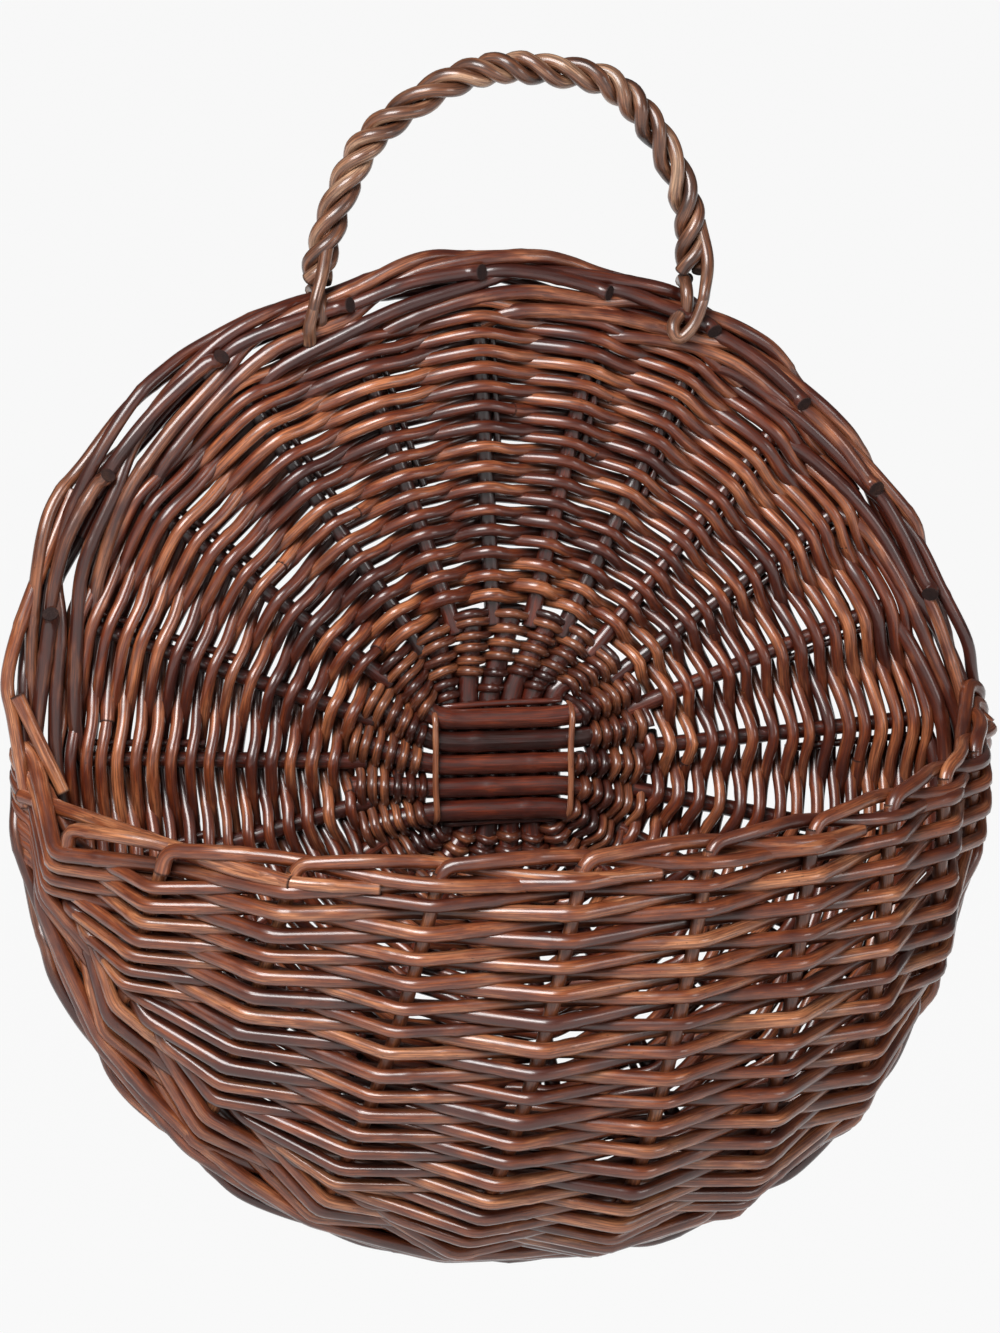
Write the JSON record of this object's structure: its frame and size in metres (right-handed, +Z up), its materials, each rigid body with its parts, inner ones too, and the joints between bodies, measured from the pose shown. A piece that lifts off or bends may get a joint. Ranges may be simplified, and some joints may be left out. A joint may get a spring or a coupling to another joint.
{
  "type": "wall basket",
  "caption": "Round willow wall basket: a woven back panel with a half-round woven pocket on its lower half and a twisted handle looped round the rim.",
  "frame": {"origin": "the point under the handle's crown where a wall hook carries the basket, in the panel's middle plane", "axes": "+X to the basket's right as seen from the front, +Y to the wall behind, +Z up towards the handle"},
  "size_m": [0.3061, 0.1151, 0.3675],
  "materials": {
    "stick_willow": "dark stained willow rods, varnished",
    "panel_willow": "red-brown stained willow weaving, glossy varnish",
    "border_willow": "red-brown stained willow border rods, glossy varnish",
    "pocket_willow": "mid-brown stained willow weaving, glossy varnish",
    "handle_willow": "tan-brown twisted willow, satin varnish"
  },
  "bodies": {
    "basket": {"base_stick_across_1": "stick_willow", "base_stick_across_2": "stick_willow", "base_stick_across_3": "stick_willow", "base_stick_across_4": "stick_willow", "base_stick_across_5": "stick_willow", "base_stick_upright_1": "stick_willow", "base_stick_upright_2": "stick_willow", "base_stick_upright_3": "stick_willow", "base_stick_upright_4": "stick_willow", "base_stick_upright_5": "stick_willow", "base_stick_upright_6": "stick_willow", "slath_binding": "stick_willow", "panel_stake_01": "stick_willow", "panel_stake_02": "stick_willow", "panel_stake_03": "stick_willow", "panel_stake_04": "stick_willow", "panel_stake_05": "stick_willow", "panel_stake_06": "stick_willow", "panel_stake_07": "stick_willow", "panel_stake_08": "stick_willow", "panel_stake_09": "stick_willow", "panel_stake_10": "stick_willow", "panel_stake_11": "stick_willow", "panel_stake_12": "stick_willow", "pocket_stake_01": "stick_willow", "pocket_stake_02": "stick_willow", "pocket_stake_03": "stick_willow", "pocket_stake_04": "stick_willow", "pocket_stake_05": "stick_willow", "pocket_stake_06": "stick_willow", "pocket_stake_07": "stick_willow", "pocket_stake_08": "stick_willow", "pocket_stake_09": "stick_willow", "pocket_stake_10": "stick_willow", "weave_inner": "panel_willow", "weave_middle": "panel_willow", "weave_outer": "panel_willow", "weave_edge": "panel_willow", "rim_border_rear": "border_willow", "rim_border_front": "border_willow", "rim_border_outer": "border_willow", "pocket_weave_foot": "pocket_willow", "pocket_weave_floor": "pocket_willow", "pocket_weave_belly": "pocket_willow", "pocket_weave_top": "pocket_willow", "pocket_border_front": "border_willow", "pocket_border_back": "border_willow", "pocket_border_top": "border_willow"},
    "handle": {"handle_rope": "handle_willow", "handle_loop_left": "handle_willow", "handle_loop_right": "handle_willow"}
  },
  "joints": [
    {"name": "handle_tilt", "type": "hinge", "parent": "basket", "child": "handle", "pos_m": [0, 0, -0.0654], "axis": [1, 0, 0], "range_deg": [-10, 60]}
  ]
}
